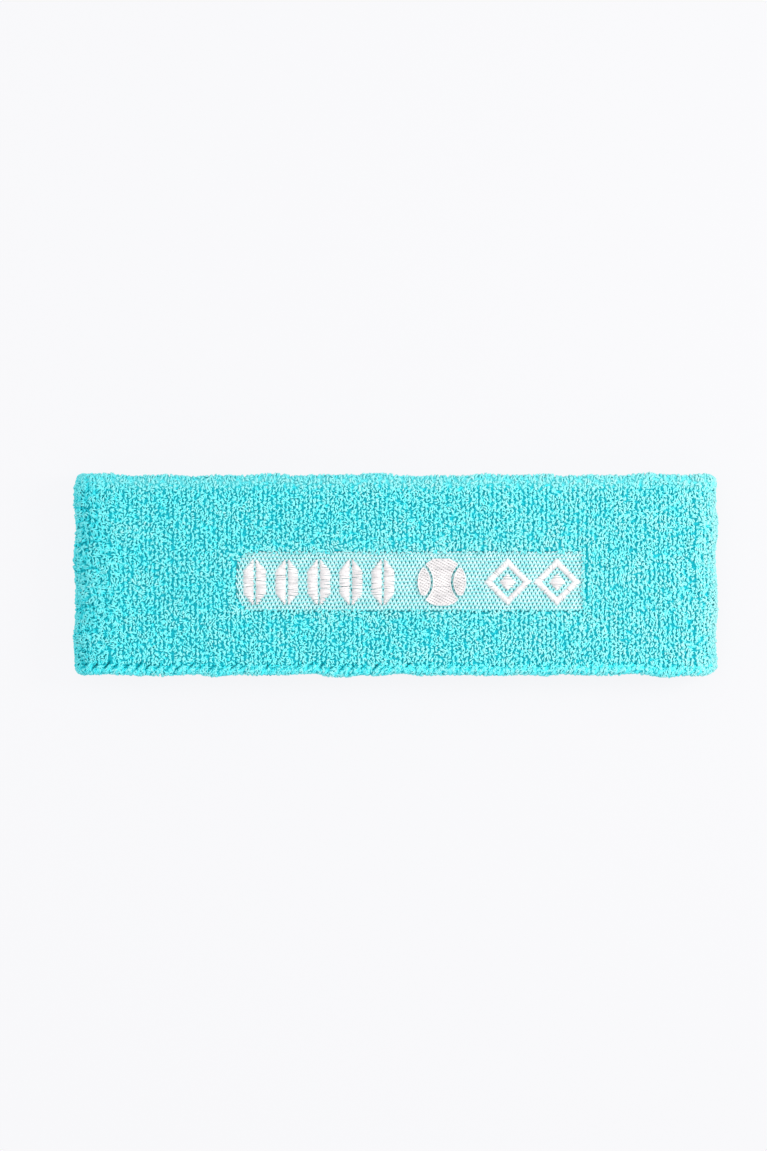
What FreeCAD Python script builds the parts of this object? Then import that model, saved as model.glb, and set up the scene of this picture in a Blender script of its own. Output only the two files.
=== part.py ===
"""Terry sports headband, lying flat on its back web.

A knitted tube is folded double: it turns over at the top edge and is overlocked at the
bottom edge, so every web is outer pile, outer ground, elastic, inner ground, inner pile.
Flattened, the band is a ring whose section in the XZ plane is two straight webs joined by
two round folds. X runs along the band, Y across it, and +Z out of its front face. The
origin is under the middle of the back web, on the surface that the band lies on.
"""
import FreeCAD, Part
import math
import os

import Sketcher

Vector = FreeCAD.Vector

# Driving dimensions in millimetres: alias, value, meaning.
SIZES = [
    ("band_length", 180.0, "length of the flattened band along X"),
    ("band_width", 56.5, "width of the band along Y"),
    ("fold_radius", 7.0, "outside radius of the two end folds, half the height"),
    ("pile_outer", 1.4, "depth of the outer terry pile"),
    ("ground_depth", 0.5, "thickness of one ground knit"),
    ("elastic_depth", 0.3, "thickness of one laid-in elastic thread"),
    ("backing_depth", 0.2, "thickness of the nonwoven backing"),
    ("bobbin_depth", 0.1, "thickness of the bobbin thread layer"),
    ("pile_inner", 1.2, "depth of the inner terry pile"),
    ("edge_depth", 2.25, "depth of the turned edge and of the seam along Y"),
    ("edge_round", 2.0, "radius of the turned edge on both sides"),
    ("elastic_pitch", 2.9, "distance between elastic threads along Y"),
    ("elastic_count", 18, "elastic threads in one layer"),
    ("window_length", 95.8, "length of the flat-knit window"),
    ("window_height", 15.9, "height of the flat-knit window"),
    ("window_x", 3.9, "middle of the window along X"),
    ("window_y", -1.75, "middle of the window along Y"),
    ("corner_run", 3.0, "length of the left corner cuts along X"),
    ("corner_rise", 3.7, "height of the left corner cuts along Y"),
    ("window_gap", 0.1, "clearance between the window and the pile round it"),
    ("window_depth", 0.4, "thickness of the flat knit above the ground"),
    ("stitch_height", 0.7, "height of the satin stitches above the window"),
    ("stitch_margin", 1.0, "backing beyond the stitched figures"),
    ("figure_y", -1.9, "middle of the stitched figures along Y"),
    ("lozenge_x", -39.1, "middle of the first lozenge along X"),
    ("lozenge_pitch", 8.9, "distance between lozenges"),
    ("lozenge_width", 6.2, "width of a lozenge"),
    ("lozenge_height", 12.8, "height of a lozenge"),
    ("lozenge_point", 3.2, "height of each pointed end of a lozenge"),
    ("lozenge_vein", 0.8, "gap between the two satin columns of a lozenge"),
    ("ball_x", 12.9, "middle of the ball emblem along X"),
    ("ball_radius", 6.6, "radius of the ball emblem"),
    ("ball_seam_radius", 6.2, "radius of each curved seam line on the ball"),
    ("ball_seam_offset", 9.0, "distance of a seam line's centre from the ball's"),
    ("ball_seam_width", 1.0, "width of a seam line on the ball"),
    ("diamond_x", 31.2, "middle of the left diamond along X"),
    ("diamond_pitch", 13.7, "distance between the two diamonds"),
    ("diamond_reach", 6.5, "half the diagonal of a diamond"),
    ("diamond_stroke", 2.1, "width of a diamond's frame along its diagonal"),
    ("diamond_core", 2.3, "half the diagonal of the small diamond inside"),
    ("overlock_pitch", 3.0, "distance between overlock stitches"),
    ("overlock_width", 1.2, "width of an overlock stitch along the edge"),
    ("overlock_depth", 0.4, "room for thread on each side of the seam"),
    ("overlock_outer", 0.35, "thickness of a stitch on the outer side"),
    ("overlock_inner", 0.3, "thickness of a stitch on the inner side"),
    ("overlock_gap", 0.1, "clearance between a stitch's inner leg and the seam"),
    ("needle_width", 0.35, "width of the needle thread along Y"),
]

LOZENGE_COUNT = 5
OVERLOCK_PER_FOLD = 6  # overlock stitches round each end fold

# Expressions for the radii of the layers, from the outside of a fold inwards.
GROUND_TOP = "Sizes.fold_radius - Sizes.pile_outer"
ELASTIC_TOP = GROUND_TOP + " - Sizes.ground_depth"
BACKING_TOP = ELASTIC_TOP + " - Sizes.elastic_depth"
BOBBIN_TOP = BACKING_TOP + " - Sizes.backing_depth"
INNER_ELASTIC_TOP = BOBBIN_TOP + " - Sizes.bobbin_depth"
INNER_GROUND_TOP = INNER_ELASTIC_TOP + " - Sizes.elastic_depth"
INNER_PILE_TOP = INNER_GROUND_TOP + " - Sizes.ground_depth"
INSIDE = INNER_PILE_TOP + " - Sizes.pile_inner"
STRAIGHT = "Sizes.band_length / 2 - Sizes.fold_radius"
BODY_HALF = "Sizes.band_width / 2 - Sizes.edge_depth"


def make_sheet(doc):
    """Put the driving dimensions in a spreadsheet, one alias per row."""
    sheet = doc.addObject("Spreadsheet::Sheet", "Sizes")
    for row, (alias, value, meaning) in enumerate(SIZES, start=1):
        sheet.set(f"A{row}", meaning)
        sheet.set(f"B{row}", str(value))
        sheet.setAlias(f"B{row}", alias)
    doc.recompute()
    return sheet


def new_body(doc, label, y_expression=None):
    """Start a sub-part whose own origin lies half the band's height above the surface."""
    body = doc.addObject("PartDesign::Body", label)
    body.Label = label
    body.setExpression("Placement.Base.z", "Sizes.fold_radius")
    if y_expression:
        body.setExpression("Placement.Base.y", y_expression)
    return body


def new_sketch(body, role, name, height=None):
    """Attach a sketch to one of the body's own origin planes, raised by an expression."""
    plane = next(item for item in body.Origin.OriginFeatures if item.Role == role)
    sketch = body.newObject("Sketcher::SketchObject", f"{body.Name}_{name}")
    sketch.AttachmentSupport = (plane, [""])
    sketch.MapMode = "FlatFace"
    if height:
        sketch.setExpression("AttachmentOffset.Base.z", height)
    return sketch


def hold(sketch, kind, *where, expression):
    """Add one dimension to a sketch and bind it to an expression of the sheet."""
    value = sketch.evalExpression(expression)
    index = sketch.addConstraint(Sketcher.Constraint(kind, *where, float(value)))
    sketch.setExpression(f"Constraints[{index}]", expression)


def draw_stadium(sketch, radius):
    """Draw two straight webs joined by two half circles of the given radius."""
    half = float(sketch.evalExpression(STRAIGHT))
    size = float(sketch.evalExpression(radius))
    normal = Vector(0, 0, 1)
    quarter = math.pi / 2
    right = sketch.addGeometry(
        Part.ArcOfCircle(Part.Circle(Vector(half, 0, 0), normal, size), -quarter, quarter))
    left = sketch.addGeometry(
        Part.ArcOfCircle(Part.Circle(Vector(-half, 0, 0), normal, size), quarter, 3 * quarter))
    top = sketch.addGeometry(Part.LineSegment(Vector(half, size, 0), Vector(-half, size, 0)))
    bottom = sketch.addGeometry(Part.LineSegment(Vector(-half, -size, 0), Vector(half, -size, 0)))
    start, end, centre, x_axis = 1, 2, 3, -1
    for line, line_end, arc, arc_end in [
            (top, start, right, end), (top, end, left, start),
            (bottom, start, left, end), (bottom, end, right, start)]:
        sketch.addConstraint(Sketcher.Constraint("Tangent", line, line_end, arc, arc_end))
    for arc in (right, left):
        sketch.addConstraint(Sketcher.Constraint("PointOnObject", arc, centre, x_axis))
    hold(sketch, "DistanceX", -1, 1, right, centre, expression=STRAIGHT)
    hold(sketch, "DistanceX", -1, 1, left, centre, expression=f"-({STRAIGHT})")
    hold(sketch, "Radius", right, expression=radius)
    sketch.addConstraint(Sketcher.Constraint("Equal", right, left))


def draw_polygon(sketch, corners):
    """Draw a closed outline through corners given as pairs of expressions."""
    points = [Vector(float(sketch.evalExpression(x)), float(sketch.evalExpression(y)), 0)
              for x, y in corners]
    count = len(points)
    first = sketch.GeometryCount
    for index in range(count):
        sketch.addGeometry(Part.LineSegment(points[index], points[(index + 1) % count]))
    for index in range(count):
        here, following = first + index, first + (index + 1) % count
        sketch.addConstraint(Sketcher.Constraint("Coincident", here, 2, following, 1))
    for index, (x, y) in enumerate(corners):
        hold(sketch, "DistanceX", -1, 1, first + index, 1, expression=x)
        hold(sketch, "DistanceY", -1, 1, first + index, 1, expression=y)


def draw_circle(sketch, x, radius):
    """Draw a circle whose centre lies on the sketch's X axis."""
    middle = Vector(float(sketch.evalExpression(x)), 0, 0)
    size = float(sketch.evalExpression(radius))
    circle = sketch.addGeometry(Part.Circle(middle, Vector(0, 0, 1), size))
    sketch.addConstraint(Sketcher.Constraint("PointOnObject", circle, 3, -1))
    hold(sketch, "DistanceX", -1, 1, circle, 3, expression=x)
    hold(sketch, "Radius", circle, expression=radius)


def pad(body, sketch, length, symmetric=False, reverse=False):
    """Pad a sketch by an expression."""
    feature = body.newObject("PartDesign::Pad", f"{sketch.Name}_pad")
    feature.Profile = sketch
    feature.SideType = "Symmetric" if symmetric else "One side"
    feature.Reversed = reverse
    feature.setExpression("Length", length)
    return feature


def pocket(body, sketch, length, reverse=False):
    """Pocket a sketch by an expression."""
    feature = body.newObject("PartDesign::Pocket", f"{sketch.Name}_pocket")
    feature.Profile = sketch
    feature.Reversed = reverse
    feature.setExpression("Length", length)
    return feature


def fillet(body, base, edges, radius):
    """Round the named edges of a feature by an expression."""
    feature = body.newObject("PartDesign::Fillet", f"{body.Name}_round")
    feature.Base = (base, edges)
    feature.setExpression("Radius", radius)
    return feature


def edges_at_y(shape, y):
    """Names of the edges of a shape that lie wholly at one Y."""
    names = []
    for number, edge in enumerate(shape.Edges, start=1):
        box = edge.BoundBox
        if abs(box.YMin - y) < 1e-6 and abs(box.YMax - y) < 1e-6:
            names.append(f"Edge{number}")
    return names


def make_ring(doc, label, outside, inside):
    """Make one layer of the band between its two edges, as a closed ring."""
    body = new_body(doc, label)
    sketch = new_sketch(body, "XZ_Plane", "section")
    draw_stadium(sketch, outside)
    draw_stadium(sketch, inside)
    pad(body, sketch, f"2 * ({BODY_HALF})", symmetric=True)
    return body


def window_corners(gap):
    """Outline of the window, grown by a gap: its left corners are cut."""
    half_x = f"(Sizes.window_length / 2 + {gap})"
    half_y = f"(Sizes.window_height / 2 + {gap})"
    left, right = f"Sizes.window_x - {half_x}", f"Sizes.window_x + {half_x}"
    low, high = f"Sizes.window_y - {half_y}", f"Sizes.window_y + {half_y}"
    inset, rise = f"{left} + Sizes.corner_run", "Sizes.corner_rise"
    return [(inset, low), (right, low), (right, high), (inset, high),
            (left, f"{high} - {rise}"), (left, f"{low} + {rise}")]


def make_outer_terry(doc):
    """Outer pile: a ring with an opening in its front web for the window."""
    body = make_ring(doc, "outer_terry", "Sizes.fold_radius", GROUND_TOP)
    sketch = new_sketch(body, "XY_Plane", "opening")
    draw_polygon(sketch, window_corners("Sizes.window_gap"))
    pocket(body, sketch, "Sizes.fold_radius", reverse=True)
    return body


def make_elastic(doc, label, top):
    """Elastic threads of one layer: thin rings side by side across the band."""
    body = new_body(doc, label)
    sketch = new_sketch(body, "XZ_Plane", "section", "Sizes.elastic_pitch / 2 - "
                        "Sizes.elastic_pitch * Sizes.elastic_count / 2")
    draw_stadium(sketch, top)
    draw_stadium(sketch, f"{top} - Sizes.elastic_depth")
    thread = pad(body, sketch, "Sizes.elastic_depth", symmetric=True)
    doc.recompute()
    pattern = body.newObject("PartDesign::LinearPattern", f"{label}_pattern")
    pattern.Originals = [thread]
    pattern.Direction = (sketch, ["N_Axis"])
    pattern.setExpression("Occurrences", "Sizes.elastic_count")
    pattern.setExpression("Length", "Sizes.elastic_pitch * (Sizes.elastic_count - 1)")
    body.Tip = pattern
    return body


def make_panel(doc, label, corners, bottom, depth):
    """Make a flat piece of one thickness whose underside lies at a given layer."""
    body = new_body(doc, label)
    sketch = new_sketch(body, "XY_Plane", "outline", bottom)
    draw_polygon(sketch, corners)
    pad(body, sketch, depth)
    return body


def rectangle(half_x, half_y, x, y):
    """Corners of a rectangle about a middle point."""
    left, right = f"{x} - ({half_x})", f"{x} + ({half_x})"
    low, high = f"{y} - ({half_y})", f"{y} + ({half_y})"
    return [(left, low), (right, low), (right, high), (left, high)]


def make_window(doc):
    """Flat-knit panel standing on the outer ground, lower than the pile round it."""
    return make_panel(doc, "knit_window", window_corners("0"), GROUND_TOP, "Sizes.window_depth")


def make_backing(doc):
    """Nonwoven backing under the elastic, a little larger than the stitched window."""
    half_x = "Sizes.window_length / 2 + Sizes.stitch_margin"
    half_y = "Sizes.window_height / 2 + Sizes.stitch_margin"
    outline = rectangle(half_x, half_y, "Sizes.window_x", "Sizes.window_y")
    return make_panel(doc, "embroidery_backing", outline, BOBBIN_TOP, "Sizes.backing_depth")


def make_bobbin(doc):
    """Bobbin thread under the backing, behind the stitched figures."""
    half_x = "Sizes.window_length / 2 - Sizes.stitch_margin"
    outline = rectangle(half_x, "Sizes.lozenge_height / 2", "Sizes.window_x", "Sizes.figure_y")
    return make_panel(doc, "bobbin_thread", outline, INNER_ELASTIC_TOP, "Sizes.bobbin_depth")


def new_figure(doc, label, x):
    """Start a stitched figure: its sketch lies on the window, centred on the figure."""
    body = new_body(doc, label, "Sizes.figure_y")
    body.setExpression("Placement.Base.x", x)
    sketch = new_sketch(body, "XY_Plane", "outline", f"{GROUND_TOP} + Sizes.window_depth")
    return body, sketch


def make_lozenge(doc, number):
    """Long hexagon stitched as two satin columns with a narrow gap between them."""
    x = f"Sizes.lozenge_x + {number - 1} * Sizes.lozenge_pitch"
    body, sketch = new_figure(doc, f"lozenge_{number}", x)
    edge, vein = "Sizes.lozenge_width / 2", "Sizes.lozenge_vein / 2"
    tip = "Sizes.lozenge_height / 2"
    shoulder = f"({tip} - Sizes.lozenge_point)"
    for side in ("", "-"):
        draw_polygon(sketch, [
            (f"{side}{vein}", f"-{tip}"), (f"{side}{edge}", f"-{shoulder}"),
            (f"{side}{edge}", shoulder), (f"{side}{vein}", tip)])
    pad(body, sketch, "Sizes.stitch_height")
    return body


def make_ball(doc):
    """Round emblem with the two curved seam lines of a plain ball left open."""
    body, sketch = new_figure(doc, "ball_emblem", "Sizes.ball_x")
    draw_circle(sketch, "0", "Sizes.ball_radius")
    pad(body, sketch, "Sizes.stitch_height")
    seams = new_sketch(body, "XY_Plane", "seams", f"{GROUND_TOP} + Sizes.window_depth")
    for side in ("", "-"):
        for grow in ("+", "-"):
            radius = f"Sizes.ball_seam_radius {grow} Sizes.ball_seam_width / 2"
            draw_circle(seams, f"{side}Sizes.ball_seam_offset", radius)
    pocket(body, seams, "Sizes.stitch_height", reverse=True)
    return body


def make_diamond(doc, label, x):
    """Diamond frame with a small diamond inside it."""
    body, sketch = new_figure(doc, label, x)
    for reach in ("Sizes.diamond_reach",
                  "(Sizes.diamond_reach - Sizes.diamond_stroke)",
                  "Sizes.diamond_core"):
        draw_polygon(sketch, [(reach, "0"), ("0", reach), (f"-{reach}", "0"), ("0", f"-{reach}")])
    pad(body, sketch, "Sizes.stitch_height")
    return body


def make_turned_ground(doc):
    """Ground knit where it turns over inside the top edge."""
    body = new_body(doc, "turned_edge_ground", BODY_HALF)
    sketch = new_sketch(body, "XZ_Plane", "section")
    draw_stadium(sketch, GROUND_TOP)
    draw_stadium(sketch, INNER_PILE_TOP)
    depth = "Sizes.edge_depth - Sizes.pile_outer"
    base = pad(body, sketch, depth, reverse=True)
    doc.recompute()
    fillet(body, base, edges_at_y(base.Shape, base.Shape.BoundBox.YMax), "Sizes.ground_depth")
    return body


def make_turned_terry(doc):
    """Pile where it turns over the top edge, hollowed for the ground inside it."""
    body = new_body(doc, "turned_edge_terry", BODY_HALF)
    sketch = new_sketch(body, "XZ_Plane", "section")
    draw_stadium(sketch, "Sizes.fold_radius")
    draw_stadium(sketch, INSIDE)
    base = pad(body, sketch, "Sizes.edge_depth", reverse=True)
    doc.recompute()
    top = edges_at_y(base.Shape, base.Shape.BoundBox.YMax)
    fillet(body, base, top, "Sizes.edge_round")
    hollow = new_sketch(body, "XZ_Plane", "hollow")
    draw_stadium(hollow, GROUND_TOP)
    draw_stadium(hollow, INNER_PILE_TOP)
    pocket(body, hollow, "Sizes.edge_depth - Sizes.pile_outer")
    return body


def make_edge_seam(doc):
    """Raw edges of the two layers pressed together inside the closed bottom edge."""
    body = new_body(doc, "edge_seam", f"-({BODY_HALF})")
    sketch = new_sketch(body, "XZ_Plane", "section")
    draw_stadium(sketch, "Sizes.fold_radius - Sizes.overlock_depth")
    draw_stadium(sketch, f"{INSIDE} + Sizes.overlock_depth")
    pad(body, sketch, "Sizes.edge_depth - Sizes.overlock_depth")
    return body


def make_needle_thread(doc):
    """Two lines of thread that lock the overlock stitches, one on each side."""
    body = new_body(doc, "seam_needle_thread", f"-({BODY_HALF})")
    sketch = new_sketch(body, "XZ_Plane", "section")
    draw_stadium(sketch, "Sizes.fold_radius")
    draw_stadium(sketch, "Sizes.fold_radius - Sizes.overlock_depth")
    draw_stadium(sketch, f"{INSIDE} + Sizes.overlock_depth")
    draw_stadium(sketch, INSIDE)
    pad(body, sketch, "Sizes.needle_width")
    return body


def overlock_stitch(sheet, inside):
    """One stitch round the edge: an outer leg, an end across the edge and an inner leg."""
    width = sheet.overlock_width
    top = sheet.fold_radius - sheet.overlock_depth
    low = inside + sheet.overlock_depth
    edge = -sheet.band_width / 2
    leg = sheet.edge_depth - sheet.needle_width
    outer = Part.makeBox(width, leg, sheet.overlock_outer, Vector(-width / 2, edge, top))
    inner_z = low - sheet.overlock_inner - sheet.overlock_gap
    inner = Part.makeBox(width, leg, sheet.overlock_inner, Vector(-width / 2, edge, inner_z))
    rise = top + sheet.overlock_outer - inner_z
    across = Part.makeBox(width, sheet.overlock_depth, rise, Vector(-width / 2, edge, inner_z))
    return outer.fuse([inner, across]).removeSplitter()


def make_overlock(doc, sheet):
    """Overlock stitches all round the bottom edge, as one group of separate solids."""
    half = float(sheet.evalExpression(STRAIGHT))
    stitch = overlock_stitch(sheet, float(sheet.evalExpression(INSIDE)))
    per_web = int(2 * half / sheet.overlock_pitch)
    step = 2 * half / per_web
    y_axis = Vector(0, 1, 0)
    places = []
    for number in range(per_web):
        x = -half + step * (number + 0.5)
        places.append((x, 0))
        places.append((x, 180))
    for number in range(OVERLOCK_PER_FOLD):
        angle = 180 * (number + 0.5) / OVERLOCK_PER_FOLD
        places.append((half, angle))
        places.append((-half, -angle))
    solids = []
    for x, angle in places:
        copy = stitch.copy()
        copy.Placement = FreeCAD.Placement(Vector(x, 0, 0), FreeCAD.Rotation(y_axis, angle))
        solids.append(copy)
    feature = doc.addObject("Part::Feature", "overlock_threads")
    feature.Shape = Part.makeCompound(solids)
    feature.Label = "overlock_threads"
    feature.Placement = FreeCAD.Placement(Vector(0, 0, sheet.fold_radius), FreeCAD.Rotation())
    return feature


def check(doc, parts):
    """Stop if any object failed or any sub-part has no valid solid."""
    for item in doc.Objects:
        if "Invalid" in item.State or "Error" in item.State:
            raise RuntimeError(f"{item.Label} did not compute: {item.State}")
    for part in parts:
        if part.Shape.isNull() or not part.Shape.isValid() or not part.Shape.Solids:
            raise RuntimeError(f"{part.Label} has no valid solid")


def main():
    doc = FreeCAD.newDocument("headband")
    sheet = make_sheet(doc)
    parts = [
        make_outer_terry(doc),
        make_ring(doc, "outer_ground", GROUND_TOP, ELASTIC_TOP),
        make_elastic(doc, "outer_elastic", ELASTIC_TOP),
        make_window(doc),
        make_backing(doc),
        make_bobbin(doc),
        make_ball(doc),
        make_diamond(doc, "diamond_left", "Sizes.diamond_x"),
        make_diamond(doc, "diamond_right", "Sizes.diamond_x + Sizes.diamond_pitch"),
        make_elastic(doc, "inner_elastic", INNER_ELASTIC_TOP),
        make_ring(doc, "inner_ground", INNER_GROUND_TOP, INNER_PILE_TOP),
        make_ring(doc, "inner_terry", INNER_PILE_TOP, INSIDE),
        make_turned_ground(doc),
        make_turned_terry(doc),
        make_edge_seam(doc),
        make_needle_thread(doc),
        make_overlock(doc, sheet),
    ]
    parts += [make_lozenge(doc, number) for number in range(1, LOZENGE_COUNT + 1)]
    doc.recompute()
    check(doc, parts)
    os.makedirs("parts", exist_ok=True)
    for part in parts:
        part.Shape.exportStep(f"parts/{part.Label}.step")
        box = part.Shape.BoundBox
        print(f"{part.Label}: {len(part.Shape.Solids)} solids, {part.Shape.Volume:.1f} mm3,"
              f" X {box.XMin:.2f} {box.XMax:.2f}, Y {box.YMin:.2f} {box.YMax:.2f},"
              f" Z {box.ZMin:.2f} {box.ZMax:.2f}")


main()
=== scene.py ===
"""Looks of the terry sports headband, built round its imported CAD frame.

The knit is one tube folded double: it climbs the outer face, turns over the top edge and
comes down the inner face. Every yarn is placed by three fabric coordinates: s runs along the
band's circumference, v across the tube from seam to seam, and rise stands off the ground knit.
Lengths are in millimetres until a mesh is made.
"""
import math

import bpy
import numpy as np
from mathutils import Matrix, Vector


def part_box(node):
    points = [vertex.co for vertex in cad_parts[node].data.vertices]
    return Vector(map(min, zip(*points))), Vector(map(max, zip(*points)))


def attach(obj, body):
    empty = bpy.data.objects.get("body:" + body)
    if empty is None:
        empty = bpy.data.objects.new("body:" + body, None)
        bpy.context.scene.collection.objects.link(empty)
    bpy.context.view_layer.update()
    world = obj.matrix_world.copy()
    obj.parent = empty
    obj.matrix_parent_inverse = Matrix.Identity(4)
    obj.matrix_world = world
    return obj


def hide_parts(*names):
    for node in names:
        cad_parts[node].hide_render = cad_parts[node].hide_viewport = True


MM = 0.001
TAU = 2 * math.pi

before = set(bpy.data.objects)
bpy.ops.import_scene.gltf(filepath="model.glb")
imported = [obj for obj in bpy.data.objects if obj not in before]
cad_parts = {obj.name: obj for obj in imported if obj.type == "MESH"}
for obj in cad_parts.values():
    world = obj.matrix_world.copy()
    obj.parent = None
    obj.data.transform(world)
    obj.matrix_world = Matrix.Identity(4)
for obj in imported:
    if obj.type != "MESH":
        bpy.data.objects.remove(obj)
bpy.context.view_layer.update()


def box_mm(node):
    """Lowest and highest corner of a CAD node, in millimetres."""
    low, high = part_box(node)
    return np.array(low) / MM, np.array(high) / MM


# ---- sizes from the frame ----
TERRY_LOW, TERRY_HIGH = box_mm("outer_terry")
GROUND_HIGH = box_mm("outer_ground")[1]
INNER_HIGH = box_mm("inner_terry")[1]
TURN_HIGH = box_mm("turned_edge_terry")[1]
STITCH_LOW = box_mm("overlock_threads")[0]
WINDOW_LOW, WINDOW_HIGH = box_mm("knit_window")

FOLD = TERRY_HIGH[2] / 2                      # outside radius of the end folds
MIDDLE_Z = FOLD
WEB = TERRY_HIGH[0] - FOLD                    # half length of the straight webs
OUTER = GROUND_HIGH[2] - MIDDLE_Z             # radius where the outer pile is rooted
INNER = INNER_HIGH[0] - WEB                   # radius where the inner pile is rooted
PILE = FOLD - OUTER                           # depth of the outer pile
INNER_PILE = 1.2                              # depth of the inner pile
TURN_Y = TERRY_HIGH[1]                        # the knit starts to turn over here
TURN_RADIUS = (OUTER - INNER) / 2
SEAM_Y = TERRY_LOW[1]                         # the seam starts here
EDGE_Y = STITCH_LOW[1]                        # bottom edge of the band
AROUND = 4 * WEB + TAU * FOLD                 # circumference at the outer surface
FACE = TURN_Y - SEAM_Y                        # length of one face across the band
TURN = math.pi * TURN_RADIUS                  # length of the turn over the top edge
SEAM_TUCK = 1.2                               # how far the knit runs on into the seam

# ---- the knit ----
WALE = 1.25                                   # distance between wales
COURSE = 0.86                                 # distance between courses
WALES = int(round(AROUND / WALE))
WALE_SWAY, SWAY_RATE = 0.4, 2.4               # wales are not level: their shift, in courses
HIGH_COURSE = 0.08                            # how much higher every second course stands
HIGH_SHIFT = 0.07                             # sideways shift of courses, to and fro
ROOTS = 0.22                                  # height of the matted roots of the pile
YARN = 0.44                                   # thickness of the pile yarn
STRANDS = 2                                   # strands side by side in one stitch
STRAND_GAP = 0.43                             # distance between the strands of a stitch
LOOP_HALF = 0.55                              # half length of a loop's head
LOOP_TOP = 0.68                               # height of a loop's middle, of the pile's depth
LOOP_BEND = 0.18                              # how far a loop bows
OUTER_STRETCHES = 15                          # the pile is cut into stretches of this many
INNER_STRETCHES = 6
EDGE_STRETCHES = 2

# ---- how uneven the pile is: standard deviations, unless a comment says otherwise ----
PLACE_SPREAD = 0.12                           # places of the stitches
HEADING_SPREAD = 0.42                         # headings of the stitches, in radians
HEADING_LOOSE, HEADING_ROLLED, HEADING_EVEN = 0.25, 0.2, 0.16     # more or less of it
HEADING_WAVE = 0.15                           # height of a slow wave in the headings
CROSSED = 0.17                                # share of stitches that lie across the wales
CROSSED_TURN = 1.1                            # how far those turn, in radians
SIZE_SPREAD, SIZE_WAVE = 0.12, 0.10           # sizes, as shares, and a slow wave in them
SIZE_SHORT, SIZE_LONG = 0.65, 1.7             # limits of the sizes
LOOSER = 0.45                                 # how much longer loops are at the loose left end
TOP_SPREAD, TOP_LOOSE, TOP_WAVE = 0.05, 0.08, 0.04                # heights
BEND_LOOSE = 0.14                             # more bend at the loose end
STRAND_SIZE, STRAND_BEND, STRAND_RISE = 0.10, 0.10, 0.06          # strands of one stitch
STRAND_ALONG, STRAND_ASIDE, STRAND_TURN, STRAND_TILT = 0.16, 0.15, 0.40, 0.10
THICK_SPREAD, THICK_ROLLED = 0.08, 0.2        # thickness of the yarn, and more at the top edge

# ---- how pale the pile is painted: 0 painted shade deep inside, 1 painted highlight at the tips ----
ROOT_PALE, TIP_PALER = -0.01, 0.80            # at the roots, and what the tips add
ROOT_EVEN, TIP_EVEN = 0.14, 0.14              # smaller contrast on the right half
OWN_SPREAD, OWN_WAVE = 0.05, 0.025            # each yarn's own difference
# Painted light: the pile is painted paler toward the right end, on the side of the right softbox.
RIGHT_PALER, RIGHT_END_PALER = 0.10, 0.06
# Painted shade: darker at the left end, away from the light, and in the slits and creases.
LEFT_DEEPER, SLIT_DEEPER, CREASE_DEEPER = 0.15, 1.3, 0.3
BESIDE_PALER, BESIDE_REACH = 0.08, 6.0        # beside the window, with the reach squared
# Painted shade on the rims, which catch more light: the ramp is flattened there and mixed toward
# darker rim colours.
RIM_PALE, RIM_SHARE, LEFT_RIM = 0.27, 0.3, 0.85
BLOTCH = 0.20                                 # blotches of the yarn's dye, from lowest to highest

# ---- partings, creases and sag ----
# Stretches of X over which something changes from none to full, for step().
LOOSE_END, CREASED_END = (-72, -84), (-81.5, -85.5)
DEEP_LEFT_END, LEFT_RIM_END = (-74, -88), (-76, -87)
PALE_RIGHT_END, RIGHT_RIM_END = (76, 86), (85, 89)
EVEN_STITCHES, EVEN_SHADES, DEEPER_SLITS = (0, 55), (0, 60), (35, -25)
# Lines where the pile opens between two wales: place along X, width, reach along Y.
PARTINGS = [(-85.4, 0.3, 30), (-79.8, 0.4, 30), (-62.0, 0.2, 30), (53.4, 0.35, 9),
            (83.2, 0.4, 30), (85.8, 0.35, 30), (88.2, 0.25, 30)]
CREASES = (19.0, 15.6, 9.3, 1.8, -8.9, -15.6)                # short creases at the left end
CREASE_HALF, CREASE_DEPTH = 0.40, 0.8
CREASE_SWAY, CREASE_SLANT = 0.35, 0.10
# Long soft creases across the front web: place along X, depth, lean.
FRONT_CREASES = [(-81.0, 0.4, 0.012), (-62.0, 0.25, -0.03), (82.0, 0.5, -0.01)]
FRONT_CREASE_HALF = 1.4
CORNER_X, CORNER_Y, CORNER_LEAN = 52.5, 7.0, 0.45            # a crease from the window's corner
CORNER_HALF, CORNER_DEPTH = 0.6, 0.5
SAG, SAG_WAVE = 0.35, 0.16                    # sinking of the front web's middle
EDGE_WANDER = 0.22                            # unevenness of the outline

# ---- the closed edge, the window and the stitches ----
EDGE_HALF = 1.45                              # half thickness of the pressed edge
EDGE_DROP = 1.35                              # how far the edge reaches below the seam's start
EDGE_ROUND = math.pi * EDGE_HALF              # length round the edge from face to face
EDGE_TOP, EDGE_TOP_WAVE, EDGE_TOP_PRESSED = 0.50, 0.10, 0.30  # height of the edge's pile
EDGE_HEADING, EDGE_HEADING_SPREAD = -0.95, 0.25
# The edge pile's place on the ramp, its contrast, and its share of the darker rim colours, painted
# shade.
EDGE_PALE, EDGE_CONTRAST, EDGE_RIM = 0.38, 0.55, 0.75
GROOVE_HALF = 0.42                            # half width of the dent under a stitch
OVERLOCK_PITCH = 2.9
SLIT_PITCH = 3.0                              # slits where the edge pulls the pile in
SLIT_UP = 0.5                                 # their height above the seam's start
SLIT_LEAN = 0.6                               # their slant, in radians
SLIT_HALF_WIDTH, SLIT_HALF_LENGTH, SLIT_DEPTH = 0.38, 1.3, 2.4
SLIT_SHIFT, SLIT_CLIMB, SLIT_SWING = 0.5, 0.7, 0.4           # how far slits differ
SCATTER_RATE, SCATTER_GAIN = 12.9898, 43758.5453             # large, so that no pattern shows
OVERLOCK_STRANDS = 2
OVERLOCK_YARN = 0.40
OVERLOCK_SLANT = 1.3                          # sideways travel from the middle of the edge
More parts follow.
